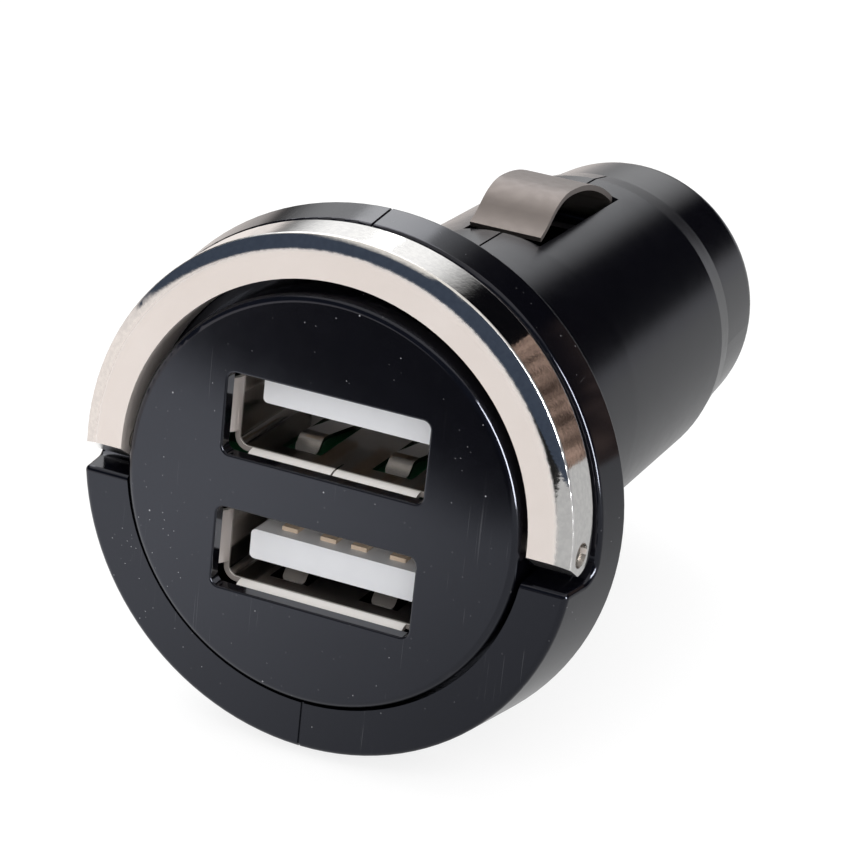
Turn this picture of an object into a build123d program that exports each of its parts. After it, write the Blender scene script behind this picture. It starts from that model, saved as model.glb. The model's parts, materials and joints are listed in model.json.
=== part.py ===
from build123d import *
import os
from math import cos, hypot, radians, sin

# Car charger plug with two USB sockets and a folding pull handle. Millimetres, +Z up.
# The plug's axis runs along Y: the face with the sockets looks along -Y, the tip points along +Y.
# The origin is on the axis at the rear of the flange, which seats on the vehicle's socket.

# Head of the housing
head_depth = 6.0  # ring's front to the flange's rear
head_front_radius = 15.5
head_radius = 16.25
head_edge_round = 0.25
rim_round = 0.35
flange_wall = 1.0  # what is left behind the faceplate's seat
recess_depth = 3.1  # pocket of the folded handle
ledge_drop = 1.6  # ledges under the handle's ends, below the axis
ledge_fillet = 1.1
ledge_edge_round = 0.3

# Barrel of the housing
collar_radius = 10.45  # guides the plug in the vehicle's socket
collar_gap = 0.9  # from the collar's end to the side springs
barrel_radius = 10.25  # at the shoulder, after the mould's draft
barrel_length = 35.6
shoulder_run = 2.3  # chamfer at the barrel's end
barrel_end_radius = 9.9
barrel_bore = 9.6
neck_radius = 8.5
neck_bore = 7.5
neck_length = 3.0
bulkhead_setback = 1.5  # the bulkhead's tip side, behind the shoulder
bulkhead_thickness = 1.0
bulkhead_bore = 2.2
parting_width = 0.16
parting_depth = 0.12

# Faceplate
face_radius = 12.38
face_thickness = 0.9
face_proud = 0.5  # forward of the ring
face_round = 0.45
face_gap = 0.27  # to the ring's bore
skirt_wall = 1.08
slot_width = 12.7
slot_height = 5.0
slot_corner = 0.5
slot_edge_round = 0.12
port_height = 4.12  # socket centres above and below the axis

# Pull handle and its pins
handle_proud = 0.45  # forward of the ring
handle_depth = 3.25
handle_centre_height = 0.45
handle_gap = 0.47  # between the faceplate and the arch
arch_front_radius = 15.4
arch_taper = 0.1  # growth of the radius from front to rear
crown_width = 1.3  # rounded band at the outer front edge
crown_depth = 0.5
handle_edge_round = 0.2
lug_radius = 1.3
end_height = 0.2  # front of the ends above the axis
end_overrun = 12.0  # degrees that the ends run below their own centre
pin_radius = 0.7
pin_setback = 1.3  # behind the ring's front
pin_height = 0.4
pin_inner_end = 9.6
pin_recess = 0.25  # the pin's end below the handle's side
pin_boss_radius = 1.2
pin_boss_start = 9.3
pin_running = 0.06
pin_seat = 0.01
pin_end_gap = 0.1
pin_chamfer = 0.12

# USB sockets
opening_width = 12.5
opening_height = 5.12
shell_wall = 0.3
shell_corner = 0.6
shell_setback = 1.55  # the lips reach forward of this
shell_depth = 12.9
lip_bend = 1.1
lip_turn = 60.0
lip_corner_gap = 0.9
shell_slit = 0.12
tab_spacing = 5.8
tab_width = 1.5
tab_thickness = 0.25
tab_rise = 0.55
tab_dip = 0.35
tab_setback = 3.4
tab_length = 5.4
tab_lead = 0.8
tab_crest = 0.8
tab_bend = 0.5
tab_corner = 0.45
window_margin = 0.5
leg_length = 1.6
tongue_width = 11.1
tongue_thickness = 1.84
tongue_offset = 0.15
tongue_setback = 2.8
tongue_round = 0.3
base_depth = 3.2
base_clearance = 0.05
contact_pitch_outer = 7.0
contact_pitch_inner = 2.0
contact_width = 1.0
contact_thickness = 0.25
contact_setback = 3.7
contact_leg_gap = 0.5
contact_channel_clearance = 0.05

# Circuit board and what it carries
board_thickness = 1.6
board_half_width = 9.2
board_setback = 3.4
board_end_gap = 2.8  # from the board to the bulkhead
board_corner = 0.8
rib_clearance = 0.05
rib_height = 0.8
rib_reach = 0.8
rib_start = 11.0
rib_end_gap = 3.0
capacitor_radius = 3.15
capacitor_length = 6.5
capacitor_setback = 1.95  # behind the sockets' shells
capacitor_groove = 0.3
capacitor_groove_setback = 1.1
capacitor_bevel = 0.3
capacitor_gap = 0.05
capacitor_lead_pitch = 2.5
capacitor_lead_reach = 0.6
capacitor_lead_width = 0.5
capacitor_lead_bend = 0.4
inductor_size = 6.6
inductor_height = 4.2
inductor_corner = 1.2
inductor_setback = 1.0  # behind the capacitor
inductor_foot = 0.6
inductor_foot_width = 2.4
chip_length = 4.9
chip_width = 3.9
chip_height = 1.5
chip_setback = 1.2  # behind the capacitor
lead_count = 4
lead_pitch = 1.27
lead_width = 0.4
lead_thickness = 0.2
lead_foot = 0.6
lead_span = 6.0
diode_length = 4.3
diode_width = 3.6
diode_height = 2.2
diode_setback = 2.2  # behind the chip
diode_lead_width = 2.0
body_gap = 0.1
body_bevel = 0.3

# Side spring contacts
strip_width = 4.8
strip_thickness = 0.35
strip_length = 13.7  # from the foot to the hook
strip_foot_height = 10.5
crest_setback = 4.4  # behind the foot
crest_height = 12.5
crest_front_radius = 4.5
crest_front_turn = 40.0
crest_rear_radius = 15.2
crest_rear_turn = 28.5
strip_run = 0.75  # straight stretch past the rear arc
strip_inner_height = 8.7
strip_drop_run = 0.3
strip_bend = 0.75
hook_setback = 1.7  # ahead of the shoulder
hook_radius = 0.85
hook_turn = 200.0
hook_clearance = 0.05
strip_side_clearance = 0.2
slot_front_clearance = 0.25
slot_rear_clearance = 0.45
cheek_width = 0.8
cheek_length = 1.6
cheek_height = 3.0

# Nose, tip contact and its spring
cap_length = 8.0
cap_gap = 0.05
cap_radius = 9.7
cap_front_radius = 9.15
cap_round = 2.2
cap_wall = 1.6
cap_fit = 0.05
cap_chamber_radius = 7.0
tip_radius = 2.85
tip_running = 0.08
tip_reach = 4.6  # how far the tip stands out of the cap
tip_dome = 1.6
tip_flange_radius = 4.0
tip_flange_thickness = 1.0
tip_rest_gap = 0.05
tip_boss_radius = 1.7
tip_boss_length = 1.2
coil_radius = 2.3
coil_wire = 0.5
coil_wire_sides = 6
coil_turns = 4.0
coil_gap = 0.05
terminal_radius = 3.4
terminal_thickness = 0.4
terminal_leg_width = 2.0
terminal_leg_thickness = 0.3
terminal_leg_overlap = 2.0

# Places worked out from the sizes above
front = -head_depth
recess_floor = front + recess_depth
ring_bore = face_radius + face_gap
neck_end = barrel_length + neck_length
shoulder_y = barrel_length - shoulder_run
bulkhead_end = shoulder_y + bulkhead_setback
bulkhead_start = bulkhead_end - bulkhead_thickness
face_front = front - face_proud
face_rear = face_front + face_thickness
skirt_bore = face_radius - skirt_wall
skirt_end = -flange_wall
pin_y = front + pin_setback
pin_outer_end = arch_front_radius - pin_recess
handle_front = front - handle_proud
handle_rear = handle_front + handle_depth
handle_bore = face_radius + handle_gap
shell_front = front + shell_setback
shell_rear = shell_front + shell_depth
base_front = shell_rear - base_depth
board_top = board_thickness / 2
board_end = bulkhead_start - board_end_gap
rib_end = board_end - rib_end_gap
capacitor_start = shell_rear + capacitor_setback
capacitor_end = capacitor_start + capacitor_length
inductor_y = capacitor_end + inductor_setback + inductor_size / 2
chip_y = capacitor_end + chip_setback + chip_length / 2
diode_y = chip_y + chip_length / 2 + diode_setback + diode_width / 2
hook_y = shoulder_y - hook_setback
strip_foot_y = hook_y - strip_length
crest_y = strip_foot_y + crest_setback
contact_face = port_height - tongue_offset
strip_half = strip_width / 2
hook_height = strip_inner_height - hook_radius
peg_radius = hook_radius - strip_thickness - hook_clearance
slot_half = strip_half + strip_side_clearance
collar_length = strip_foot_y - collar_gap
cap_start = barrel_length + cap_gap
cap_end = cap_start + cap_length
cap_inner_face = cap_end - cap_wall
tip_flange_front = cap_inner_face - tip_rest_gap
tip_flange_rear = tip_flange_front - tip_flange_thickness
terminal_face = bulkhead_end + terminal_thickness

os.makedirs("parts", exist_ok=True)


# Outer outline of the housing as (radius, y), from the ring's front to the neck's end
outer_outline = [
    (head_front_radius, front),
    (head_radius, 0),
    (collar_radius, 0),
    (collar_radius, collar_length),
    (barrel_radius, shoulder_y),
    (barrel_end_radius, barrel_length),
    (neck_radius, barrel_length),
    (neck_radius, neck_end),
]

# Inner outline, from the neck's end back to the ring's front
inner_outline = [
    (neck_bore, neck_end),
    (neck_bore, bulkhead_end),
    (bulkhead_bore, bulkhead_end),
    (bulkhead_bore, bulkhead_start),
    (barrel_bore, bulkhead_start),
    (barrel_bore, skirt_end),
    (ring_bore, skirt_end),
    (ring_bore, front),
]


def strip_path_points():
    """Corner points of a side spring's upper surface, from its foot to its hook, as (y, z)."""
    front_turn = radians(crest_front_turn)
    rear_turn = radians(crest_rear_turn)
    rise_end = (
        crest_y - crest_front_radius * sin(front_turn),
        crest_height - crest_front_radius * (1 - cos(front_turn)),
    )
    fall_start = (
        crest_y + crest_rear_radius * sin(rear_turn),
        crest_height - crest_rear_radius * (1 - cos(rear_turn)),
    )
    knee = (
        fall_start[0] + strip_run * cos(rear_turn),
        fall_start[1] - strip_run * sin(rear_turn),
    )
    ankle = (knee[0] + strip_drop_run, strip_inner_height)
    return rise_end, fall_start, knee, ankle


rise_end, fall_start, knee, ankle = strip_path_points()
foot_swing = hypot(hook_y - strip_foot_y, strip_foot_height - hook_height)
slot_start = hook_y - foot_swing - slot_front_clearance
slot_end = ankle[0] + slot_rear_clearance

# Groove that shows where the two housing halves meet
with BuildPart() as parting_groove:
    with BuildSketch(Plane.YZ) as parting_section:
        with BuildLine():
            Polyline([(y, r) for r, y in outer_outline] + [(neck_end, 0), (front, 0)], close=True)
        make_face()
        fillet(parting_section.vertices().sort_by_distance((0, head_radius))[0], head_edge_round)
        fillet(parting_section.vertices().sort_by_distance((front, head_front_radius))[0], rim_round)
        mirror(about=Plane.XZ)
        offset(amount=-parting_depth, mode=Mode.SUBTRACT)
    extrude(amount=parting_width / 2, both=True)

# Whole housing before it is parted: ring, flange, barrel, neck, handle recess and spring slots
with BuildPart() as housing:
    with BuildSketch(Plane.XY) as housing_section:
        with BuildLine():
            Polyline(outer_outline + inner_outline, close=True)
        make_face()
        fillet(housing_section.vertices().sort_by_distance((head_radius, 0))[0], head_edge_round)
        fillet(housing_section.vertices().sort_by_distance((head_front_radius, front))[0], rim_round)
    revolve(axis=Axis.Y)
    with BuildSketch(Plane.YZ) as recess_section:
        with BuildLine():
            Polyline(
                (front - head_depth, -ledge_drop),
                (recess_floor, -ledge_drop),
                (recess_floor, 2 * head_radius),
                (front - head_depth, 2 * head_radius),
                close=True,
            )
        make_face()
        fillet(recess_section.vertices().sort_by_distance((recess_floor, -ledge_drop))[0], ledge_fillet)
    extrude(amount=2 * head_radius, both=True, mode=Mode.SUBTRACT)
    ledge_edges = housing.edges().filter_by(Axis.X).group_by(Axis.Y)[0]
    fillet(ledge_edges, ledge_edge_round)
    with Locations((0, (slot_start + slot_end) / 2, 0)):
        Box(2 * slot_half, slot_end - slot_start, 2 * head_radius, mode=Mode.SUBTRACT)
    cheek_x = slot_half + cheek_width / 2
    rib_x = barrel_bore - rib_reach / 2
    rib_z = board_top + rib_clearance + rib_height / 2
    for side in (1, -1):
        with Locations((cheek_x, hook_y, side * hook_height), (-cheek_x, hook_y, side * hook_height)):
            Box(cheek_width, cheek_length, cheek_height)
        with Locations(Location((0, hook_y, side * hook_height), (0, 90, 0))):
            Cylinder(peg_radius, 2 * slot_half)
        rib_y = (rib_start + rib_end) / 2
        with Locations((rib_x, rib_y, side * rib_z), (-rib_x, rib_y, side * rib_z)):
            Box(rib_reach, rib_end - rib_start, rib_height)
    add(parting_groove.part, mode=Mode.SUBTRACT)

with BuildPart() as right_housing:
    add(housing.part)
    split(bisect_by=Plane.YZ, keep=Keep.TOP)
right_housing.part.label = "right_housing"
export_step(right_housing.part, "parts/right_housing.step")

with BuildPart() as left_housing:
    add(housing.part)
    split(bisect_by=Plane.YZ, keep=Keep.BOTTOM)
left_housing.part.label = "left_housing"
export_step(left_housing.part, "parts/left_housing.step")

# Faceplate: a cup with the two socket openings and a boss for each hinge pin
with BuildPart() as faceplate:
    with BuildSketch(Plane.XY) as face_section:
        with BuildLine():
            Polyline(
                (0, face_front),
                (face_radius, face_front),
                (face_radius, skirt_end),
                (skirt_bore, skirt_end),
                (skirt_bore, face_rear),
                (0, face_rear),
                close=True,
            )
        make_face()
        fillet(face_section.vertices().sort_by_distance((face_radius, face_front))[0], face_round)
    revolve(axis=Axis.Y)
    with BuildSketch(Plane.XZ.offset(-face_front)):
        with Locations((0, port_height), (0, -port_height)):
            RectangleRounded(slot_width, slot_height, slot_corner)
    extrude(amount=-face_thickness, mode=Mode.SUBTRACT)
    slot_outlines = faceplate.faces().sort_by(Axis.Y)[0].inner_wires()
    fillet([edge for outline in slot_outlines for edge in outline.edges()], slot_edge_round)
    boss_length = skirt_bore + skirt_wall / 2 - pin_boss_start
    seat_start = pin_inner_end - pin_end_gap
    seat_length = head_radius - seat_start
    for side in (1, -1):
        with Locations(Location((side * (pin_boss_start + boss_length / 2), pin_y, pin_height), (0, 90, 0))):
            Cylinder(pin_boss_radius, boss_length)
        with Locations(Location((side * (seat_start + seat_length / 2), pin_y, pin_height), (0, 90, 0))):
            Cylinder(pin_radius + pin_seat, seat_length, mode=Mode.SUBTRACT)
faceplate.part.label = "faceplate"
export_step(faceplate.part, "parts/faceplate.step")

# Plane through the handle's own axis, at the start of its arch
arch_start = radians(-end_overrun)
arch_start_plane = Plane(
    origin=(0, 0, handle_centre_height),
    x_dir=(cos(arch_start), 0, sin(arch_start)),
    z_dir=(-sin(arch_start), 0, cos(arch_start)),
)

# Pull handle: an arch with a rounded outer front edge and a lug about each hinge pin
handle_axis = Axis((0, 0, handle_centre_height), (0, -1, 0))
crown_run = min(crown_width, (arch_front_radius - handle_bore) / 2)
with BuildPart() as pull_handle:
    with BuildSketch(arch_start_plane) as handle_section:
        with BuildLine():
            crown_start = (arch_front_radius - crown_run, handle_front)
            crown_end = (arch_front_radius, handle_front + crown_depth)
            arch_rear = (arch_front_radius + arch_taper, handle_rear)
            Polyline(
                crown_end,
                arch_rear,
                (handle_bore, handle_rear),
                (handle_bore, handle_front),
                crown_start,
            )
            TangentArc(crown_start, crown_end, tangent=(1, 0))
        make_face()
        for corner in (crown_end, arch_rear):
            fillet(handle_section.vertices().sort_by_distance(corner)[0], handle_edge_round)
    revolve(axis=handle_axis, revolution_arc=180 + 2 * end_overrun)
    with BuildSketch(Plane.YZ):
        with BuildLine():
            lug_bottom = (pin_y, pin_height - lug_radius)
            lug_rear = (handle_rear, lug_bottom[1] + handle_rear - pin_y)
            TangentArc(lug_bottom, lug_rear, tangent=(1, 0))
            Polyline(
                lug_rear,
                (handle_rear + head_depth, lug_rear[1]),
                (handle_rear + head_depth, -head_radius),
                (handle_front - head_depth, -head_radius),
                (handle_front - head_depth, end_height),
                (handle_front, end_height),
                lug_bottom,
            )
        make_face()
    extrude(amount=2 * head_radius, both=True, mode=Mode.SUBTRACT)
    for side in (1, -1):
        with Locations(Location((side * handle_bore, pin_y, pin_height), (0, 90, 0))):
            Cylinder(pin_radius + pin_running, head_radius, mode=Mode.SUBTRACT)
pull_handle.part.label = "pull_handle"
export_step(pull_handle.part, "parts/pull_handle.step")

# Hinge pins: held by the faceplate's bosses, running in the handle's ends
pin_length = pin_outer_end - pin_inner_end
with BuildPart() as right_hinge_pin:
    with Locations(Location((pin_inner_end + pin_length / 2, pin_y, pin_height), (0, 90, 0))):
        Cylinder(pin_radius, pin_length)
    chamfer(right_hinge_pin.edges(), pin_chamfer)
right_hinge_pin.part.label = "right_hinge_pin"
export_step(right_hinge_pin.part, "parts/right_hinge_pin.step")

with BuildPart() as left_hinge_pin:
    mirror(right_hinge_pin.part, about=Plane.YZ)
left_hinge_pin.part.label = "left_hinge_pin"
export_step(left_hinge_pin.part, "parts/left_hinge_pin.step")


def wall_plane(x, z):
    """Plane through a socket's axis at the shell's front edge, drawn as (y, distance out towards x, z)."""
    return Plane(origin=(0, shell_front, port_height), x_dir=(0, 1, 0), z_dir=(z, 0, -x))


half_width = opening_width / 2
half_height = opening_height / 2
tab_front = tab_setback - shell_setback

# Spring tabs of the upper socket: strips that rise into the socket and end in a rounded, turned-down tip
with BuildPart() as spring_tabs:
    with BuildSketch(wall_plane(0, 1).offset(tab_spacing / 2)):
        with BuildLine():
            FilletPolyline(
                (tab_front, half_height + tab_dip),
                (tab_front + tab_lead, half_height - tab_rise),
                (tab_front + tab_lead + tab_crest, half_height - tab_rise),
                (tab_front + tab_length, half_height),
                (tab_front + tab_length + window_margin, half_height),
                radius=tab_bend,
            )
            offset(amount=tab_thickness, side=Side.LEFT)
        make_face()
    extrude(amount=tab_width / 2, both=True)
    tip_edges = spring_tabs.edges().filter_by(Axis.X, reverse=True).group_by(Axis.Y)[0]
    fillet(tip_edges, tab_corner)
    mirror(about=Plane.YZ)
    mirror(about=Plane.XY.offset(port_height))

# Shell of the upper socket: a folded sheet tube with flared lips, spring tabs in windows and solder legs
window_length = tab_length + window_margin
with BuildPart() as upper_usb_shell:
    with BuildSketch(Plane.XZ.offset(-shell_front)):
        with Locations((0, port_height)):
            RectangleRounded(
                opening_width + 2 * shell_wall, opening_height + 2 * shell_wall, shell_corner + shell_wall
            )
            RectangleRounded(opening_width, opening_height, shell_corner, mode=Mode.SUBTRACT)
    extrude(amount=-shell_depth)
    for x, z, reach, span in (
        (0, 1, half_height, opening_width),
        (0, -1, half_height, opening_width),
        (1, 0, half_width, opening_height),
        (-1, 0, half_width, opening_height),
    ):
        with BuildSketch(wall_plane(x, z)):
            with BuildLine():
                inside = CenterArc((0, reach + lip_bend), lip_bend, -90, -lip_turn)
                outside = CenterArc((0, reach + lip_bend), lip_bend - shell_wall, -90, -lip_turn)
                Line(inside @ 0, outside @ 0)
                Line(inside @ 1, outside @ 1)
            make_face()
        extrude(amount=span / 2 - lip_corner_gap, both=True)
    window_y = shell_front + tab_front - window_margin + window_length / 2
    wall_z = half_height + shell_wall / 2
    for z in (1, -1):
        with Locations(*[(x * tab_spacing / 2, window_y, port_height + z * wall_z) for x in (1, -1)]):
            Box(tab_width + 2 * window_margin, window_length, 2 * shell_wall, mode=Mode.SUBTRACT)
    add(spring_tabs.part)
    leg_x = half_width + shell_wall / 2
    leg_y = shell_front + shell_depth / 2
    with Locations(*[(x * leg_x, leg_y, (port_height + board_top) / 2) for x in (1, -1)]):
        Box(shell_wall, leg_length, port_height - board_top)
    with Locations((0, shell_front, port_height - half_height - lip_bend / 2)):
        Box(shell_slit, 2 * lip_bend, lip_bend + 2 * shell_wall, mode=Mode.SUBTRACT)
upper_usb_shell.part.label = "upper_usb_shell"
export_step(upper_usb_shell.part, "parts/upper_usb_shell.step")

with BuildPart() as lower_usb_shell:
    mirror(upper_usb_shell.part, about=Plane.XY)
lower_usb_shell.part.label = "lower_usb_shell"
export_step(lower_usb_shell.part, "parts/lower_usb_shell.step")

# Tongue of the upper socket: a plate that carries the contacts and a base that closes the shell
tongue_front = front + tongue_setback
channel_width = contact_width + 2 * contact_channel_clearance
channel_height = contact_thickness + contact_channel_clearance
contact_places = [
    side * pitch / 2 for pitch in (contact_pitch_outer, contact_pitch_inner) for side in (1, -1)
]
with BuildPart() as upper_usb_tongue:
    with BuildSketch(Plane.XZ.offset(-tongue_front)):
        with Locations((0, contact_face + tongue_thickness / 2)):
            RectangleRounded(tongue_width, tongue_thickness, tongue_round)
    extrude(amount=tongue_front - shell_rear)
    with BuildSketch(Plane.XZ.offset(-base_front)):
        with Locations((0, port_height)):
            RectangleRounded(
                opening_width - 2 * base_clearance,
                opening_height - 2 * base_clearance,
                shell_corner,
            )
        with Locations(*[(x, contact_face - channel_height / 2) for x in contact_places]):
            Rectangle(channel_width, channel_height, mode=Mode.SUBTRACT)
    extrude(amount=base_front - shell_rear)
upper_usb_tongue.part.label = "upper_usb_tongue"
export_step(upper_usb_tongue.part, "parts/upper_usb_tongue.step")

with BuildPart() as lower_usb_tongue:
    mirror(upper_usb_tongue.part, about=Plane.XY)
lower_usb_tongue.part.label = "lower_usb_tongue"
export_step(lower_usb_tongue.part, "parts/lower_usb_tongue.step")

# Contacts of the upper socket: strips on the tongue, bent behind the shell down to the board
contact_leg_y = shell_rear + contact_leg_gap
with BuildPart() as upper_usb_contacts:
    for x in contact_places:
        with BuildSketch(Plane.YZ.offset(x)):
            with BuildLine():
                Polyline(
                    (front + contact_setback, contact_face),
                    (contact_leg_y + contact_thickness, contact_face),
                    (contact_leg_y + contact_thickness, board_top),
                    (contact_leg_y, board_top),
                    (contact_leg_y, contact_face - contact_thickness),
                    (front + contact_setback, contact_face - contact_thickness),
                    close=True,
                )
            make_face()
        extrude(amount=contact_width / 2, both=True)
upper_usb_contacts.part.label = "upper_usb_contacts"
export_step(upper_usb_contacts.part, "parts/upper_usb_contacts.step")

with BuildPart() as lower_usb_contacts:
    mirror(upper_usb_contacts.part, about=Plane.XY)
lower_usb_contacts.part.label = "lower_usb_contacts"
export_step(lower_usb_contacts.part, "parts/lower_usb_contacts.step")

# Circuit board between the two sockets, held by the housing's ribs
board_front = front + board_setback
with BuildPart() as circuit_board:
    with Locations((0, (board_front + board_end) / 2, 0)):
        Box(2 * board_half_width, board_end - board_front, board_thickness)
    fillet(circuit_board.edges().filter_by(Axis.Z), board_corner)
circuit_board.part.label = "circuit_board"
export_step(circuit_board.part, "parts/circuit_board.step")

# Capacitor on the board's upper side: a crimped can lying along the board, with two bent leads
capacitor_height = board_top + capacitor_gap + capacitor_radius
crimp_y = capacitor_start + capacitor_groove_setback
with BuildPart() as output_capacitor:
    with BuildSketch(Plane.YZ) as can_section:
        with BuildLine():
            Polyline(
                (capacitor_start, capacitor_height),
                (capacitor_start, capacitor_height + capacitor_radius),
                (crimp_y - capacitor_groove, capacitor_height + capacitor_radius),
                (crimp_y, capacitor_height + capacitor_radius - capacitor_groove),
                (crimp_y + capacitor_groove, capacitor_height + capacitor_radius),
                (capacitor_end, capacitor_height + capacitor_radius),
                (capacitor_end, capacitor_height),
                close=True,
            )
        make_face()
        outer_end = (capacitor_end, capacitor_height + capacitor_radius)
        chamfer(can_section.vertices().sort_by_distance(outer_end)[0], capacitor_bevel)
    revolve(axis=Axis((0, 0, capacitor_height), (0, 1, 0)))
    for side in (1, -1):
        lead_x = side * capacitor_lead_pitch / 2
        lead_y = capacitor_start - capacitor_lead_reach
        with BuildLine() as lead_path:
            FilletPolyline(
                (lead_x, capacitor_start, capacitor_height),
                (lead_x, lead_y, capacitor_height),
                (lead_x, lead_y, board_top),
                radius=capacitor_lead_bend,
            )
        with BuildSketch(Plane(origin=lead_path.line @ 0, z_dir=lead_path.line % 0)):
            Rectangle(capacitor_lead_width, capacitor_lead_width)
        sweep(path=lead_path.line)
output_capacitor.part.label = "output_capacitor"
export_step(output_capacitor.part, "parts/output_capacitor.step")

with BuildPart() as input_capacitor:
    mirror(output_capacitor.part, about=Plane.XY)
input_capacitor.part.label = "input_capacitor"
export_step(input_capacitor.part, "parts/input_capacitor.step")

# Inductor on the board's upper side: a shielded block with bevelled edges on two end terminals
with BuildPart() as inductor:
    with BuildSketch(Plane.XY.offset(board_top + body_gap)):
        with Locations((0, inductor_y)):
            RectangleRounded(inductor_size, inductor_size, inductor_corner)
    extrude(amount=inductor_height - body_gap)
    chamfer(inductor.faces().sort_by(Axis.Z)[-1].edges(), body_bevel)
    for side in (1, -1):
        foot_y = inductor_y + side * (inductor_size - inductor_foot) / 2
        with Locations((0, foot_y, board_top + inductor_foot / 2)):
            Box(inductor_foot_width, inductor_foot, inductor_foot)
inductor.part.label = "inductor"
export_step(inductor.part, "parts/inductor.step")

# Regulator chip under the board: a bevelled body with a row of bent leads on each side
chip_level = -board_top - body_gap - chip_height / 2
with BuildPart() as regulator_chip:
    with Locations((0, chip_y, chip_level)):
        Box(chip_width, chip_length, chip_height)
    chamfer(regulator_chip.faces().sort_by(Axis.Z)[0].edges(), body_bevel)
    for side in (1, -1):
        for step in range(lead_count):
            lead_y = chip_y + (step - (lead_count - 1) / 2) * lead_pitch
            with BuildSketch(Plane.XZ.offset(-lead_y)):
                with BuildLine():
                    Polyline(
                        (side * (chip_width - lead_thickness) / 2, chip_level),
                        (side * (lead_span / 2 - lead_foot), chip_level),
                        (side * (lead_span / 2 - lead_foot), -board_top - lead_thickness / 2),
                        (side * lead_span / 2, -board_top - lead_thickness / 2),
                    )
                trace(line_width=lead_thickness)
            extrude(amount=lead_width / 2, both=True)
regulator_chip.part.label = "regulator_chip"
export_step(regulator_chip.part, "parts/regulator_chip.step")

# Rectifier diode under the board: a bevelled body with a terminal folded under each end
diode_level = -board_top - body_gap - diode_height / 2
with BuildPart() as rectifier_diode:
    with Locations((0, diode_y, diode_level)):
        Box(diode_length, diode_width, diode_height)
    chamfer(rectifier_diode.faces().sort_by(Axis.Z)[0].edges(), body_bevel)
    for side in (1, -1):
        with BuildSketch(Plane.XZ.offset(-diode_y)):
            with BuildLine():
                Polyline(
                    (side * (diode_length - lead_thickness) / 2, diode_level),
                    (side * (diode_length + lead_thickness) / 2, diode_level),
                    (side * (diode_length + lead_thickness) / 2, -board_top - lead_thickness / 2),
                    (side * (diode_length / 2 - lead_foot), -board_top - lead_thickness / 2),
                )
            trace(line_width=lead_thickness)
        extrude(amount=diode_lead_width / 2, both=True)
rectifier_diode.part.label = "rectifier_diode"
export_step(rectifier_diode.part, "parts/rectifier_diode.step")

# Upper side spring: a bent strip, from its foot over the crest and through the slot to a hook on the peg
with BuildPart() as upper_ground_spring:
    with BuildSketch(Plane.YZ):
        with BuildLine():
            rise_turn = radians(crest_front_turn)
            TangentArc(
                rise_end,
                (strip_foot_y, strip_foot_height),
                tangent=(-cos(rise_turn), -sin(rise_turn)),
            )
            CenterArc(
                (crest_y, crest_height - crest_front_radius),
                crest_front_radius,
                90 + crest_front_turn,
                -crest_front_turn,
            )
            CenterArc((crest_y, crest_height - crest_rear_radius), crest_rear_radius, 90, -crest_rear_turn)
            FilletPolyline(fall_start, knee, ankle, (hook_y, strip_inner_height), radius=strip_bend)
            CenterArc((hook_y, hook_height), hook_radius, 90, -hook_turn)
            offset(amount=strip_thickness, side=Side.LEFT)
        make_face()
    extrude(amount=strip_half, both=True)
upper_ground_spring.part.label = "upper_ground_spring"
export_step(upper_ground_spring.part, "parts/upper_ground_spring.step")

with BuildPart() as lower_ground_spring:
    mirror(upper_ground_spring.part, about=Plane.XY)
lower_ground_spring.part.label = "lower_ground_spring"
export_step(lower_ground_spring.part, "parts/lower_ground_spring.step")

# Nose cap: a thin-walled cap pressed over the housing's neck, with a round hole for the tip
cap_bore = neck_radius + cap_fit
cap_hole = tip_radius + tip_running
with BuildPart() as nose_cap:
    with BuildSketch(Plane.XY) as cap_section:
        with BuildLine():
            Polyline(
                (cap_hole, cap_end),
                (cap_front_radius, cap_end),
                (cap_radius, cap_start),
                (cap_bore, cap_start),
                (cap_bore, neck_end + cap_gap),
                (cap_chamber_radius, neck_end + cap_gap),
                (cap_chamber_radius, cap_inner_face),
                (cap_hole, cap_inner_face),
                close=True,
            )
        make_face()
        fillet(cap_section.vertices().sort_by_distance((cap_front_radius, cap_end))[0], cap_round)
    revolve(axis=Axis.Y)
nose_cap.part.label = "nose_cap"
export_step(nose_cap.part, "parts/nose_cap.step")

# Tip contact: a turned pin with a domed end, a flange that stops inside the cap and a boss for the coil
tip_end = cap_end + tip_reach
with BuildPart() as centre_contact:
    with BuildSketch(Plane.XY):
        with BuildLine():
            Polyline(
                (0, tip_end),
                (0, tip_flange_rear - tip_boss_length),
                (tip_boss_radius, tip_flange_rear - tip_boss_length),
                (tip_boss_radius, tip_flange_rear),
                (tip_flange_radius, tip_flange_rear),
                (tip_flange_radius, tip_flange_front),
                (tip_radius, tip_flange_front),
                (tip_radius, tip_end - tip_dome),
            )
            TangentArc((0, tip_end), (tip_radius, tip_end - tip_dome), tangent=(1, 0))
        make_face()
    revolve(axis=Axis.Y)
centre_contact.part.label = "centre_contact"
export_step(centre_contact.part, "parts/centre_contact.step")

# Coil spring between the terminal's disc and the tip's flange
coil_start = terminal_face + coil_gap + coil_wire / 2
coil_end = tip_flange_rear - coil_gap - coil_wire / 2
coil_height = coil_end - coil_start
with BuildPart() as contact_spring:
    with BuildLine() as coil_path:
        Helix(
            pitch=coil_height / coil_turns,
            height=coil_height,
            radius=coil_radius,
            center=(0, coil_start, 0),
            direction=(0, 1, 0),
        )
    with BuildSketch(Plane(origin=coil_path.line @ 0, z_dir=coil_path.line % 0)):
        RegularPolygon(coil_wire / 2, coil_wire_sides)
    sweep(path=coil_path.line, is_frenet=True)
contact_spring.part.label = "contact_spring"
export_step(contact_spring.part, "parts/contact_spring.step")

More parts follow.
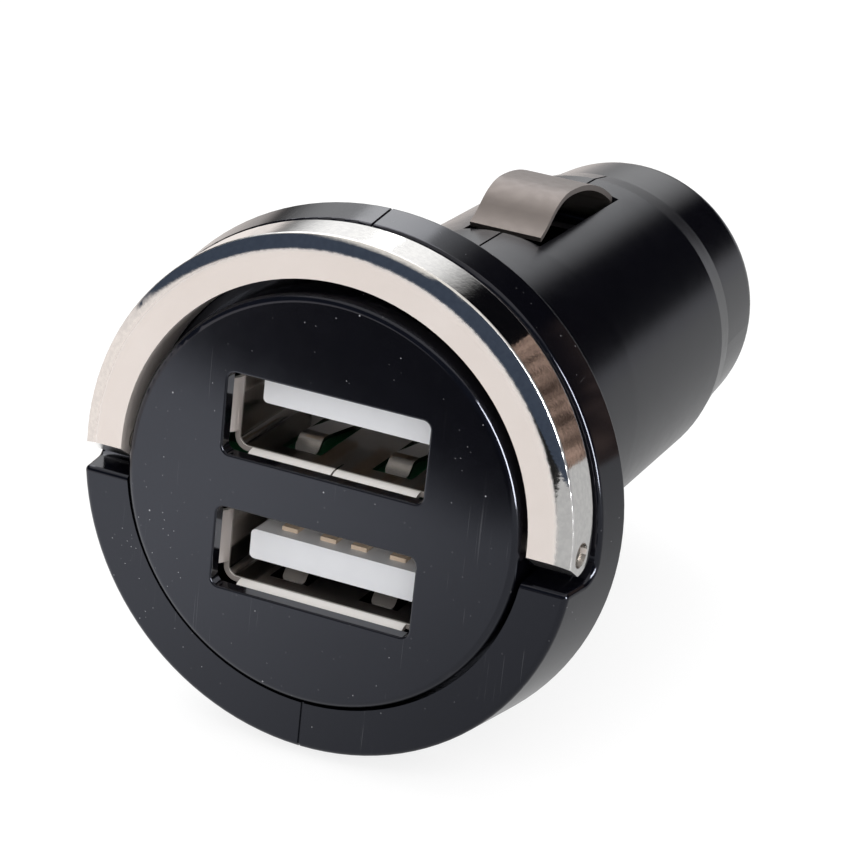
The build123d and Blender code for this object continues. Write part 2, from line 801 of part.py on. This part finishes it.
# Terminal of the tip: a disc on the bulkhead with a leg that runs through it to the board
terminal_leg_start = board_end - terminal_leg_overlap
with BuildPart() as tip_terminal:
    with BuildSketch(Plane.XZ.offset(-bulkhead_end)):
        Circle(terminal_radius)
    extrude(amount=-terminal_thickness)
    with BuildSketch(Plane.XY.offset(board_top)):
        with Locations((0, (terminal_leg_start + terminal_face) / 2)):
            Rectangle(terminal_leg_width, terminal_face - terminal_leg_start)
    extrude(amount=terminal_leg_thickness)
tip_terminal.part.label = "tip_terminal"
export_step(tip_terminal.part, "parts/tip_terminal.step")
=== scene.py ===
"""Looks of the car charger plug: camera, stage, light and the finish of every piece."""
import json
import math

import bpy
from mathutils import Matrix, Vector

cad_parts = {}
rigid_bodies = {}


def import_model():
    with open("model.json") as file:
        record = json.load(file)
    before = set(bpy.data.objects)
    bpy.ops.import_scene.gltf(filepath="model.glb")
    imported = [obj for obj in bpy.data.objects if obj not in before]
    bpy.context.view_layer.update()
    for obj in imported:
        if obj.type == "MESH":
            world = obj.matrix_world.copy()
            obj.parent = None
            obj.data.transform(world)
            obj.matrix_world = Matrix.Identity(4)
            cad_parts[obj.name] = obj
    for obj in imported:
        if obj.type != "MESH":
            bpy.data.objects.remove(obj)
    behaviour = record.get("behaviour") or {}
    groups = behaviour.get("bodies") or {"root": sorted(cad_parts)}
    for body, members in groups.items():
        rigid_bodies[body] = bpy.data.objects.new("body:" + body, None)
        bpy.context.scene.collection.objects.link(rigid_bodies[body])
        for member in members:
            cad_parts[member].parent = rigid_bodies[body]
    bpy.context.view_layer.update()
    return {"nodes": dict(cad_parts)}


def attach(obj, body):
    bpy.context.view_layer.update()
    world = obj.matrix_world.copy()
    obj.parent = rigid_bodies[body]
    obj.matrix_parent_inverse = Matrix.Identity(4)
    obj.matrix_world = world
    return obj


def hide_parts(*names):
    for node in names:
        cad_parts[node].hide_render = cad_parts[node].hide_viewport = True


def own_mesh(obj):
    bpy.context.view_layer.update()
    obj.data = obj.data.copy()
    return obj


MM = 0.001
WHITE = (1.0, 1.0, 1.0, 1.0)

# Camera, found from the photograph's ellipses and slots; angles in degrees
CAMERA_AZIMUTH = 22.134
CAMERA_ELEVATION = 20.641
CAMERA_ROLL = 6.2
CAMERA_DISTANCE = 210.04 * MM
CAMERA_TARGET = Vector((-2.336, 14.0, -1.919)) * MM
SENSOR_WIDTH = 36.0
IMAGE_PIXELS = 850.0
FOCAL_PIXELS = 3356.44

# Floor, and how bright its glow looks in polished surfaces from its left to its right: the dimmer right is
# painted shade
FLOOR_LEVEL = -16.4 * MM
FLOOR_HALF_WIDTH = 400.0 * MM
FLOOR_FRONT = -400.0 * MM
FLOOR_REAR = 500.0 * MM
FLOOR_BRIGHT_SIDE = -28.0 * MM
FLOOR_DIM_SIDE = 12.0 * MM
FLOOR_BRIGHT = 1.3
FLOOR_DIM = 0.5

# In those surfaces it is dark beyond a front edge, which recedes on both sides of its middle
FLOOR_EDGE = -48.0 * MM
FLOOR_EDGE_FADE = 5.0 * MM
FLOOR_EDGE_MIDDLE = -5.0 * MM
FLOOR_EDGE_LEFT_SLOPE = 0.48
FLOOR_EDGE_RIGHT_SLOPE = 1.2
FLOOR_DARK = 0.03

# In those surfaces its far left is even and warm
FLOOR_FAR_SIDE = -45.0 * MM
FLOOR_FAR_FADE = 6.0 * MM
FLOOR_FAR_COLOUR = (0.92, 0.85, 0.81, 1.0)

# In the view it glows, and its matt part takes the shadow; bounced light sees it matt
FLOOR_GLOW = 0.8
FLOOR_SHADE = 0.3
FLOOR_MATT = 0.8

# Even light from all round, for matt surfaces
AMBIENT = 0.65

# What polished surfaces see around the plug: angles in degrees, LEFT and BEHIND in parts of a unit direction
SOFTBOX_AZIMUTH = -21.0
SOFTBOX_ELEVATION = 26.0
SOFTBOX_HALF_ANGLE = 17.5
SOFTBOX_EDGE = 8.0
SOFTBOX_COLOUR = (1.05, 1.05, 1.05, 1.0)
SKY_START = 42.0
SKY_FULL = 52.0
SKY_COLOUR = (0.78, 0.75, 0.71, 1.0)
HORIZON_FULL = 1.0
HORIZON_END = 7.0
HORIZON_COLOUR = (0.45, 0.45, 0.47, 1.0)
LEFT_START = -0.25
LEFT_FULL = -0.5
LEFT_COLOUR = (0.84, 0.78, 0.75, 1.0)
BEHIND_FULL = 0.5
ROOM_FRONT = (0.045, 0.058, 0.085, 1.0)
ROOM_REAR = (0.002, 0.002, 0.003, 1.0)

# Glowing warm card beside the head, no lamp, seen only in reflections: a painted reflection whose painted
# pale and dark folds are finer along the plug
CARD_X = 30.0 * MM
CARD_FRONT = 10.0 * MM
CARD_REAR = 28.0 * MM
CARD_LEAN = 24.0 * MM
CARD_LOW = 4.0 * MM
CARD_HIGH = 36.0 * MM
CARD_FINENESS = (1.0, 2.4, 0.7)
CARD_GLOW_PALE = (0.46, 0.32, 0.26, 1.0)
CARD_GLOW_DARK = (0.03, 0.02, 0.016, 1.0)

LAMP_DISTANCE = 400.0 * MM

# Black plastic: its colours and slow waves, and where the head ends
PLASTIC_DARK = (0.0014, 0.0014, 0.0026, 1.0)
PLASTIC_PALE = (0.003, 0.003, 0.005, 1.0)
PLASTIC_TINT = (0.82, 0.86, 1.0, 1.0)
PLASTIC_WAVE = 0.006 * MM
HEAD_REAR = 1.5 * MM

# Dust on it: the spot where most lies, and the share of specks that show away from there and on it
DUSTY_SPOT = Vector((-13.0, -6.0, -6.5)) * MM
DUSTY_REACH = 7.5 * MM
DUSTY_CORE = DUSTY_REACH / 4
DUST_SHARES = (0.25, 1.0)
FINE_DUST_SHARES = (0.015, 0.4)
FAINT_DUST_SHARE = 0.12
DUST_COLOUR = (0.5, 0.5, 0.52, 1.0)
DUST_COVER = 0.7
FAINT_DUST_COVER = 0.1
DUST_ROUGHNESS = 0.4

# Sets of hairline scratches: turn in degrees, fineness across and along
HAIRLINES = ((35.0, 9000.0, 120.0), (-62.0, 9000.0, 140.0), (4.0, 12000.0, 90.0))
HAIRLINE_COVER = 0.06

# Plated handle: satin and polished parts
SATIN_DARK = (0.73, 0.655, 0.61, 1.0)
SATIN_PALE = (0.79, 0.725, 0.685, 1.0)
SATIN_METALLIC = 0.35
SATIN_ROUGHNESS = 0.5
SATIN_EDGE_GRAIN = 0.004
POLISHED_DARK = (0.81, 0.8, 0.79, 1.0)
POLISHED_PALE = (0.9, 0.89, 0.87, 1.0)
POLISHED_ROUGHNESS = 0.07
CROWN_EDGE_ROUGHNESS = 0.3
HANDLE_PEEL = 0.003 * MM

# Socket shells: the sheet, and where its flared lips begin
SHEET_DARK = (0.42, 0.38, 0.35, 1.0)
SHEET_PALE = (0.5, 0.46, 0.42, 1.0)
SHEET_ROUGHNESS = 0.14
# Share of the lips' duller finish and painted light that the bent tabs take
TAB_DULLNESS_AND_PAINTED_LIGHT = 0.2
LIP_START = -4.6 * MM
LIP_BLEND = 0.5 * MM
# Lip colours are painted light: upright lips painted dark as painted shade, level lips painted near white as
# a painted highlight
UPRIGHT_LIP_PAINTED_SHADE = (0.38, 0.34, 0.32, 1.0)
LEVEL_LIP_PAINTED_HIGHLIGHT = (1.0, 0.97, 0.93, 1.0)
LIP_METALLIC = 0.15
LIP_ROUGHNESS = 0.3
LIP_LINE_FINENESS = (600.0, 9000.0, 9000.0)
LIP_LINE_HEIGHT = 0.003 * MM

# Other finishes: darkest tone of a colour, and the grain of matt plastic
MOTTLE = 0.95
MOULD_GRAIN = 0.003 * MM


def sine(degrees):
    return math.sin(math.radians(degrees))


def cosine(degrees):
    return math.cos(math.radians(degrees))


def grey(level):
    return (level, level, level, 1.0)


def direction(azimuth, elevation):
    """Unit vector for an azimuth from +Y towards +X and an elevation above the horizon, in degrees."""
    level = cosine(elevation)
    return Vector((sine(azimuth) * level, cosine(azimuth) * level, sine(elevation)))


def add_camera():
    """The photograph's view."""
    back = direction(CAMERA_AZIMUTH, CAMERA_ELEVATION)
    back.y = -back.y
    right = Vector((cosine(CAMERA_AZIMUTH), sine(CAMERA_AZIMUTH), 0))
    up = back.cross(right)
    x_axis = cosine(CAMERA_ROLL) * right + sine(CAMERA_ROLL) * up
    y_axis = -sine(CAMERA_ROLL) * right + cosine(CAMERA_ROLL) * up
    data = bpy.data.cameras.new("camera")
    data.sensor_width = SENSOR_WIDTH
    data.lens = FOCAL_PIXELS / IMAGE_PIXELS * SENSOR_WIDTH
    data.clip_start = CAMERA_DISTANCE / 100
    data.clip_end = CAMERA_DISTANCE * 100
    camera = bpy.data.objects.new("camera", data)
    bpy.context.scene.collection.objects.link(camera)
    matrix = Matrix((x_axis, y_axis, back)).transposed().to_4x4()
    matrix.translation = CAMERA_TARGET + back * CAMERA_DISTANCE
    camera.matrix_world = matrix
    bpy.context.scene.camera = camera


class Shader:
    """A node tree being written: adds nodes and links their sockets."""

    def __init__(self, tree):
        self.tree = tree
        self.tree.nodes.clear()

    def fill(self, node, inputs):
        """Links or sets a node's inputs by name or number; a node as a value means its first output."""
        for key, value in dict(inputs).items():
            if isinstance(value, bpy.types.Node):
                value = value.outputs[0]
            if isinstance(value, bpy.types.NodeSocket):
                self.tree.links.new(value, node.inputs[key])
            else:
                node.inputs[key].default_value = value

    def node(self, kind, inputs=(), **settings):
        """Adds a node with these settings and inputs."""
        made = self.tree.nodes.new("ShaderNode" + kind)
        for name, value in settings.items():
            setattr(made, name, value)
        self.fill(made, inputs)
        return made

    def math(self, operation, first, *others):
        """An operation on one number, or on two or more in turn."""
        if not others:
            return self.node("Math", {0: first}, operation=operation).outputs[0]
        for other in others:
            first = self.node("Math", {0: first, 1: other}, operation=operation).outputs[0]
        return first

    def vector(self, operation, *values):
        """An operation on vectors: its outputs are Vector and Value."""
        return self.node("VectorMath", enumerate(values), operation=operation).outputs

    def axes(self, vector):
        """The X, Y and Z of a vector."""
        return tuple(self.node("SeparateXYZ", {0: vector}).outputs)

    def mix(self, factor, first, second):
        """Colour between two others."""
        inputs = {"Factor": factor, "A": first, "B": second}
        return self.node("Mix", inputs, data_type="RGBA").outputs["Result"]

    def ramp(self, value, low, high, start=0.0, end=1.0):
        """Smooth step from start to end while value goes from low to high."""
        inputs = {"Value": value, "From Min": low, "From Max": high, "To Min": start, "To Max": end}
        return self.node("MapRange", inputs, interpolation_type="SMOOTHSTEP").outputs["Result"]

    def blend(self, mask, start, end):
        """Number that goes from start to end as a mask goes from 0 to 1."""
        return self.ramp(mask, 0.0, 1.0, start, end)

    def object_place(self):
        return self.node("TexCoord").outputs["Object"]

    def stretch(self, place, fineness, turn=0.0):
        """Place scaled along each axis, after a turn about the plug's axis in degrees."""
        rotation = (0.0, math.radians(turn), 0.0)
        return self.node("Mapping", {"Vector": place, "Rotation": rotation, "Scale": fineness}).outputs[0]

    def noise(self, place, scale, detail=2.0, roughness=0.5):
        inputs = {"Vector": place, "Scale": scale, "Detail": detail, "Roughness": roughness}
        return self.node("TexNoise", inputs).outputs["Fac"]

    def bump(self, height, distance, strength=1.0):
        inputs = {"Height": height, "Distance": distance, "Strength": strength}
        return self.node("Bump", inputs).outputs["Normal"]


def ray_kinds(shader):
    """1 for camera rays, and 1 for camera, glossy and transmission rays."""
    rays = shader.node("LightPath").outputs
    to_camera = rays["Is Camera Ray"]
    return to_camera, shader.math("MAXIMUM", to_camera, rays["Is Glossy Ray"], rays["Is Transmission Ray"])


def add_world():
    """White to the camera, an even fill to matt surfaces, and to polished ones a studio with a soft box."""
    world = bpy.data.worlds.new("studio")
    world.use_nodes = True
    bpy.context.scene.world = world
    shader = Shader(world.node_tree)
    towards = shader.node("TexCoord").outputs["Generated"]
    x, y, z = shader.axes(towards)
    behind = shader.ramp(y, 0.0, BEHIND_FULL)
    left = shader.ramp(x, LEFT_START, LEFT_FULL)
    low = shader.ramp(z, sine(HORIZON_END), sine(HORIZON_FULL))
    glow = shader.math("MULTIPLY", low, shader.math("MAXIMUM", left, behind))
    sky = shader.ramp(z, sine(SKY_START), sine(SKY_FULL))
    box_middle = direction(SOFTBOX_AZIMUTH, SOFTBOX_ELEVATION)
    nearness = shader.vector("DOT_PRODUCT", towards, box_middle)["Value"]
    outer = cosine(SOFTBOX_HALF_ANGLE + SOFTBOX_EDGE)
    inner = cosine(SOFTBOX_HALF_ANGLE - SOFTBOX_EDGE)
    studio = shader.mix(behind, ROOM_FRONT, ROOM_REAR)
    studio = shader.mix(glow, studio, shader.mix(left, HORIZON_COLOUR, LEFT_COLOUR))
    studio = shader.mix(sky, studio, SKY_COLOUR)
    studio = shader.mix(shader.ramp(nearness, outer, inner), studio, SOFTBOX_COLOUR)
    to_camera, direct = ray_kinds(shader)
    seen = shader.mix(direct, grey(AMBIENT), studio)
    background = shader.node("Background", {"Color": shader.mix(to_camera, seen, WHITE)})
    shader.node("OutputWorld", {"Surface": background})


def new_material(name):
    """Empty material, and the writer of its nodes."""
    material = bpy.data.materials.new(name)
    material.use_nodes = True
    return material, Shader(material.node_tree)


def add_quad(name, corners, material):
    """Flat piece with four corners."""
    mesh = bpy.data.meshes.new(name)
    mesh.from_pydata(corners, [], [(0, 1, 2, 3)])
    mesh.materials.append(material)
    piece = bpy.data.objects.new(name, mesh)
    bpy.context.scene.collection.objects.link(piece)
    return piece


def add_floor():
    """Pale floor: white in the view with a faint shadow, and in polished surfaces a glow with painted shade,
    dimmer to the right.
    """
    material, shader = new_material("floor_white")
    x, y, _ = shader.axes(shader.object_place())
    # Painted shade in the glow that polished surfaces see: dimmer to the right
    side = shader.ramp(x, FLOOR_BRIGHT_SIDE, FLOOR_DIM_SIDE, FLOOR_BRIGHT, FLOOR_DIM)
    aside = shader.math("SUBTRACT", x, FLOOR_EDGE_MIDDLE)
    left_rise = shader.math("MULTIPLY", aside, -FLOOR_EDGE_LEFT_SLOPE)
    right_rise = shader.math("MULTIPLY", aside, FLOOR_EDGE_RIGHT_SLOPE)
    reach = shader.math("ADD", y, shader.math("MAXIMUM", left_rise, right_rise))
    depth = shader.ramp(reach, FLOOR_EDGE - FLOOR_EDGE_FADE, FLOOR_EDGE + FLOOR_EDGE_FADE, FLOOR_DARK, 1.0)
    near = shader.math("MULTIPLY", side, depth)
    far = shader.ramp(x, FLOOR_FAR_SIDE + FLOOR_FAR_FADE, FLOOR_FAR_SIDE - FLOOR_FAR_FADE)
    far_tint = shader.mix(far, WHITE, FLOOR_FAR_COLOUR)
    mirrored = shader.node("Emission", {"Color": far_tint, "Strength": shader.blend(far, near, 1.0)})
    matt = shader.node("BsdfDiffuse", {"Color": grey(FLOOR_MATT)})
    glow = shader.node("Emission", {"Strength": FLOOR_GLOW})
    pale = shader.node("BsdfDiffuse", {"Color": grey(FLOOR_SHADE)})
    to_camera, direct = ray_kinds(shader)
    lit = shader.node("MixShader", {"Fac": direct, 1: matt, 2: mirrored})
    seen = shader.node("AddShader", {0: glow, 1: pale})
    shader.node("OutputMaterial", {"Surface": shader.node("MixShader", {"Fac": to_camera, 1: lit, 2: seen})})
    corners = [
        (-FLOOR_HALF_WIDTH, FLOOR_FRONT, FLOOR_LEVEL),
        (FLOOR_HALF_WIDTH, FLOOR_FRONT, FLOOR_LEVEL),
        (FLOOR_HALF_WIDTH, FLOOR_REAR, FLOOR_LEVEL),
        (-FLOOR_HALF_WIDTH, FLOOR_REAR, FLOOR_LEVEL),
    ]
    floor = add_quad("floor", corners, material)


def add_reflection_glow_card():
    """Glowing warm card at the right, which only the polished surfaces see: a painted reflection, with pale
    and dark folds painted into its glow.
    """
    material, shader = new_material("reflection_glow_card")
    place = shader.stretch(shader.object_place(), CARD_FINENESS)
    # Painted reflection: pale and dark folds painted into the card's glow
    painted_folds = shader.ramp(shader.noise(place, scale=330.0, detail=4.0, roughness=0.65), low=0.4, high=0.64)
    glow = shader.node("Emission", {"Color": shader.mix(painted_folds, CARD_GLOW_DARK, CARD_GLOW_PALE)})
    shader.node("OutputMaterial", {"Surface": glow})
    corners = [
        (CARD_X, CARD_FRONT, CARD_LOW),
        (CARD_X, CARD_REAR, CARD_LOW),
        (CARD_X, CARD_REAR + CARD_LEAN, CARD_HIGH),
        (CARD_X, CARD_FRONT + CARD_LEAN, CARD_HIGH),
    ]
    card = add_quad("reflection_glow_card", corners, material)
    card.visible_camera = False
    card.visible_diffuse = False
    card.visible_shadow = False


def add_lamp(name, azimuth, elevation, width, height, power):
    """Soft lamp that looks at the plug's middle; its size is in millimetres."""
    data = bpy.data.lights.new(name, "AREA")
    data.shape = "RECTANGLE"
    data.size = width * MM
    data.size_y = height * MM
    data.energy = power
    lamp = bpy.data.objects.new(name, data)
    bpy.context.scene.collection.objects.link(lamp)
    towards = direction(azimuth, elevation)
    lamp.location = CAMERA_TARGET + towards * LAMP_DISTANCE
    lamp.rotation_mode = "QUATERNION"
    lamp.rotation_quaternion = towards.to_track_quat("Z", "Y")
    return lamp


def principled(name):
    """New material with a Principled surface, and its node writer."""
    material, shader = new_material(name)
    surface = shader.node("BsdfPrincipled")
    shader.node("OutputMaterial", {"Surface": surface})
    return material, shader, surface


def specks(shader, place, cells, radius, share):
    """Small round dots, scattered: 1 on a dot. The share of cells that keep theirs is given."""
    cell = shader.node("TexVoronoi", {"Vector": place, "Scale": cells}).outputs
    dot = shader.ramp(cell["Distance"], low=radius, high=radius / 2)
    chance = shader.node("SeparateColor", {0: cell["Color"]})
    return shader.math("MULTIPLY", dot, shader.math("LESS_THAN", chance, share))


def hairlines(shader, place, turn, across, along):
    """Sparse straight scratches over the face, at an angle about the plug's axis."""
    streak = shader.noise(shader.stretch(place, (across, along, along), turn), scale=1.0, detail=1.0)
    gap = shader.noise(place, scale=260.0, detail=1.0)
    shown = shader.ramp(gap, low=0.52, high=0.6)
    return shader.math("MULTIPLY", shader.ramp(streak, low=0.73, high=0.79), shown)


def mottled(shader, place, colour, scale):
    """A colour that is a little darker in places."""
    dark = tuple(part * MOTTLE for part in colour)
    return shader.mix(shader.noise(place, scale), (*dark, 1.0), (*colour, 1.0))


def black_plastic(name, roughness, far_roughness, ior):
    """Glossy moulded plastic, dusty and finely scratched on the head; behind it the gloss may differ."""
    material, shader, surface = principled(name)
    place = shader.object_place()
    _, y, _ = shader.axes(place)
    head = shader.ramp(y, low=HEAD_REAR, high=0.0)
    gap = shader.vector("DISTANCE", place, DUSTY_SPOT)["Value"]
    share = shader.ramp(gap, DUSTY_REACH, DUSTY_CORE, *DUST_SHARES)
    fine_share = shader.ramp(gap, DUSTY_REACH, DUSTY_CORE, *FINE_DUST_SHARES)
    dust = shader.math(
        "MAXIMUM",
        specks(shader, place, cells=800.0, radius=0.055, share=share),
        specks(shader, place, cells=1500.0, radius=0.06, share=share),
        specks(shader, place, cells=3000.0, radius=0.11, share=fine_share),
    )
    faint = specks(shader, place, cells=2600.0, radius=0.14, share=FAINT_DUST_SHARE)
    lines = shader.math("ADD", *[hairlines(shader, place, *each) for each in HAIRLINES])
    cover = shader.math(
        "MAXIMUM",
        shader.math("MULTIPLY", dust, DUST_COVER),
        shader.math("MULTIPLY", faint, FAINT_DUST_COVER),
        shader.math("MULTIPLY", lines, HAIRLINE_COVER),
    )
    cover = shader.math("MULTIPLY", cover, head)
    base = shader.mix(shader.noise(place, scale=300.0), PLASTIC_DARK, PLASTIC_PALE)
    cloud = shader.noise(place, scale=900.0, detail=4.0)
    unevenness = shader.ramp(cloud, low=0.3, high=0.7, start=0.95, end=1.08)
    clean = shader.math("MULTIPLY", shader.blend(head, far_roughness, roughness), unevenness)
    wave = shader.noise(place, scale=220.0, detail=1.0)
    shader.fill(surface, {
        "Base Color": shader.mix(cover, base, DUST_COLOUR),
        "Roughness": shader.math("ADD", clean, shader.math("MULTIPLY", cover, DUST_ROUGHNESS)),
        "IOR": ior,
        "Specular Tint": PLASTIC_TINT,
        "Normal": shader.bump(wave, PLASTIC_WAVE),
    })
    return material


def plated(name, colour, roughness, peel, metallic=1.0):
    """Bright plating with a little orange peel, whose height is in millimetres."""
    material, shader, surface = principled(name)
    place = shader.object_place()
    cloud = shader.noise(place, scale=1500.0, detail=3.0)
    shader.fill(surface, {
        "Base Color": mottled(shader, place, colour, scale=500.0),
        "Metallic": metallic,
        "Roughness": shader.ramp(cloud, low=0.3, high=0.7, start=roughness, end=roughness * 1.15),
        "Normal": shader.bump(shader.noise(place, scale=1800.0), peel * MM),
    })
    return material


def handle_metal(name):
    """Polished plating with a fine orange peel; the face, the inner wall and the rear edge are satin."""
    material, shader, surface = principled(name)
    coordinates = shader.node("TexCoord").outputs
    place = coordinates["Object"]
    normal = coordinates["Normal"]
    _, rearward, _ = shader.axes(normal)
    flat = shader.vector("MULTIPLY", place, (1.0, 0.0, 1.0))["Vector"]
    radial = shader.vector("NORMALIZE", flat)["Vector"]
    outward = shader.vector("DOT_PRODUCT", radial, normal)["Value"]
    grain = shader.noise(place, scale=3000.0, detail=3.0)
    ragged = shader.ramp(grain, low=0.2, high=0.8, start=SATIN_EDGE_GRAIN, end=-SATIN_EDGE_GRAIN)
    face = shader.ramp(shader.math("ADD", rearward, ragged), low=-0.955, high=-0.995)
    rear_edge = shader.ramp(rearward, low=0.15, high=0.4)
    inner_wall = shader.ramp(outward, low=-0.3, high=-0.7)
    satin = shader.math("MAXIMUM", face, rear_edge, inner_wall)
    behind_crown = shader.ramp(rearward, low=-0.76, high=-0.7)
    before_side = shader.ramp(rearward, low=-0.08, high=-0.2)
    crown_edge = shader.math("MULTIPLY", behind_crown, before_side)
    satin_colour = shader.mix(shader.noise(place, scale=350.0, detail=3.0), SATIN_DARK, SATIN_PALE)
    polished_colour = shader.mix(shader.ramp(grain, low=0.3, high=0.7), POLISHED_DARK, POLISHED_PALE)
    polish = shader.blend(crown_edge, POLISHED_ROUGHNESS, CROWN_EDGE_ROUGHNESS)
    shader.fill(surface, {
        "Base Color": shader.mix(satin, polished_colour, satin_colour),
        "Metallic": shader.blend(satin, 1.0, SATIN_METALLIC),
        "Roughness": shader.blend(satin, polish, SATIN_ROUGHNESS),
        "Normal": shader.bump(shader.noise(place, scale=4200.0), HANDLE_PEEL),
    })
    return material


def shell_metal(name):
    """Polished folded sheet; its flared lips and bent tabs are duller, with fine lines along the lips, and
    their colour is painted light: painted shade on the upright lips, a painted highlight on the level lips,
    and a share of both on the tabs.
    """
    material, shader, surface = principled(name)
    coordinates = shader.node("TexCoord").outputs
    place = coordinates["Object"]
    _, y, _ = shader.axes(place)
    _, facing_y, facing_z = shader.axes(coordinates["Normal"])
    lip = shader.ramp(y, LIP_START + LIP_BLEND, LIP_START)
    bent = shader.ramp(shader.math("ABSOLUTE", facing_y), low=0.08, high=0.25)
    # Lips, and tabs in part, take a duller finish and painted light: painted shade on upright lips, a
    # painted highlight on level ones
    dull_and_painted_light = shader.math("MAXIMUM", lip, shader.math("MULTIPLY", bent, TAB_DULLNESS_AND_PAINTED_LIGHT))
    level = shader.ramp(shader.math("ABSOLUTE", facing_z), low=0.3, high=0.6)
    sheet_colour = shader.mix(shader.noise(place, scale=500.0), SHEET_DARK, SHEET_PALE)
    painted_lip_light = shader.mix(level, UPRIGHT_LIP_PAINTED_SHADE, LEVEL_LIP_PAINTED_HIGHLIGHT)
    lines = shader.noise(shader.stretch(place, LIP_LINE_FINENESS), scale=1.0)
    shader.fill(surface, {
        "Base Color": shader.mix(dull_and_painted_light, sheet_colour, painted_lip_light),
        "Metallic": shader.blend(dull_and_painted_light, 1.0, LIP_METALLIC),
        "Roughness": shader.blend(dull_and_painted_light, SHEET_ROUGHNESS, LIP_ROUGHNESS),
        "Normal": shader.bump(lines, LIP_LINE_HEIGHT, lip),
    })
    return material


def moulded(name, colour, roughness):
    """Matt moulded plastic or epoxy with a fine grain."""
    material, shader, surface = principled(name)
    place = shader.object_place()
    grain = shader.noise(place, scale=4000.0)
    shader.fill(surface, {
        "Base Color": mottled(shader, place, colour, scale=800.0),
        "Roughness": shader.ramp(grain, low=0.3, high=0.7, start=roughness * 0.85, end=roughness),
        "Normal": shader.bump(grain, MOULD_GRAIN),
    })
    return material


def dress(material, *names):
    """Gives CAD nodes a finish."""
    for name in names:
        slots = nodes[name].data.materials
        slots.clear()
        slots.append(material)


def add_coil():
    """The coil under the tip, seated on its terminal: a copy of its mesh that moves with the plug, in place
    of the hidden CAD node.
    """
    coil = bpy.data.objects.new("coil_spring", nodes["contact_spring"].data.copy())
    bpy.context.scene.collection.objects.link(coil)
    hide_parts("contact_spring")
    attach(coil, "plug")
    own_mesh(coil)


for leftover in list(bpy.data.objects):
    bpy.data.objects.remove(leftover)
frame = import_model()
nodes = frame["nodes"]

add_camera()
add_world()
add_floor()
add_reflection_glow_card()
add_lamp("key", azimuth=-40.0, elevation=50.0, width=300.0, height=300.0, power=0.5)
right_window = add_lamp("right_window", azimuth=113.0, elevation=16.0, width=120.0, height=280.0, power=2.4)
right_window.visible_diffuse = False
front_fill = add_lamp("front_fill", azimuth=165.0, elevation=30.0, width=300.0, height=300.0, power=0.9)
front_fill.visible_glossy = False

housing = black_plastic("housing_finish", roughness=0.13, far_roughness=0.2, ior=1.55)
faceplate = black_plastic("faceplate_finish", roughness=0.12, far_roughness=0.12, ior=1.62)
nose = black_plastic("nose_finish", roughness=0.16, far_roughness=0.16, ior=1.5)
pin = plated("pin_finish", (0.2, 0.18, 0.16), roughness=0.4, peel=0.0008, metallic=0.7)
spring = plated("spring_finish", (0.22, 0.196, 0.186), roughness=0.42, peel=0.0004)
tip = plated("tip_finish", (0.76, 0.73, 0.68), roughness=0.15, peel=0.002)
coil = plated("coil_finish", (0.6, 0.6, 0.6), roughness=0.25, peel=0.002)
terminal = plated("terminal_finish", (0.8, 0.62, 0.34), roughness=0.25, peel=0.002)
contact = plated("contact_finish", (0.85, 0.68, 0.52), roughness=0.45, peel=0.002, metallic=0.0)
can = plated("can_finish", (0.75, 0.76, 0.78), roughness=0.3, peel=0.002)
tongue = moulded("tongue_finish", (0.84, 0.85, 0.88), roughness=0.4)
board = moulded("board_finish", (0.012, 0.09, 0.035), roughness=0.4)
component = moulded("component_finish", (0.02, 0.02, 0.02), roughness=0.5)
ferrite = moulded("ferrite_finish", (0.07, 0.07, 0.075), roughness=0.6)

dress(housing, "left_housing", "right_housing")
dress(faceplate, "faceplate")
dress(nose, "nose_cap")
dress(handle_metal("handle_finish"), "pull_handle")
dress(pin, "left_hinge_pin", "right_hinge_pin")
dress(shell_metal("shell_finish"), "upper_usb_shell", "lower_usb_shell")
dress(tongue, "upper_usb_tongue", "lower_usb_tongue")
dress(contact, "upper_usb_contacts", "lower_usb_contacts")
dress(spring, "upper_ground_spring", "lower_ground_spring")
dress(tip, "centre_contact")
dress(coil, "contact_spring")
dress(terminal, "tip_terminal")
dress(board, "circuit_board")
dress(component, "regulator_chip", "rectifier_diode")
dress(ferrite, "inductor")
dress(can, "input_capacitor", "output_capacitor")
add_coil()

bpy.context.scene.view_settings.view_transform = "Standard"
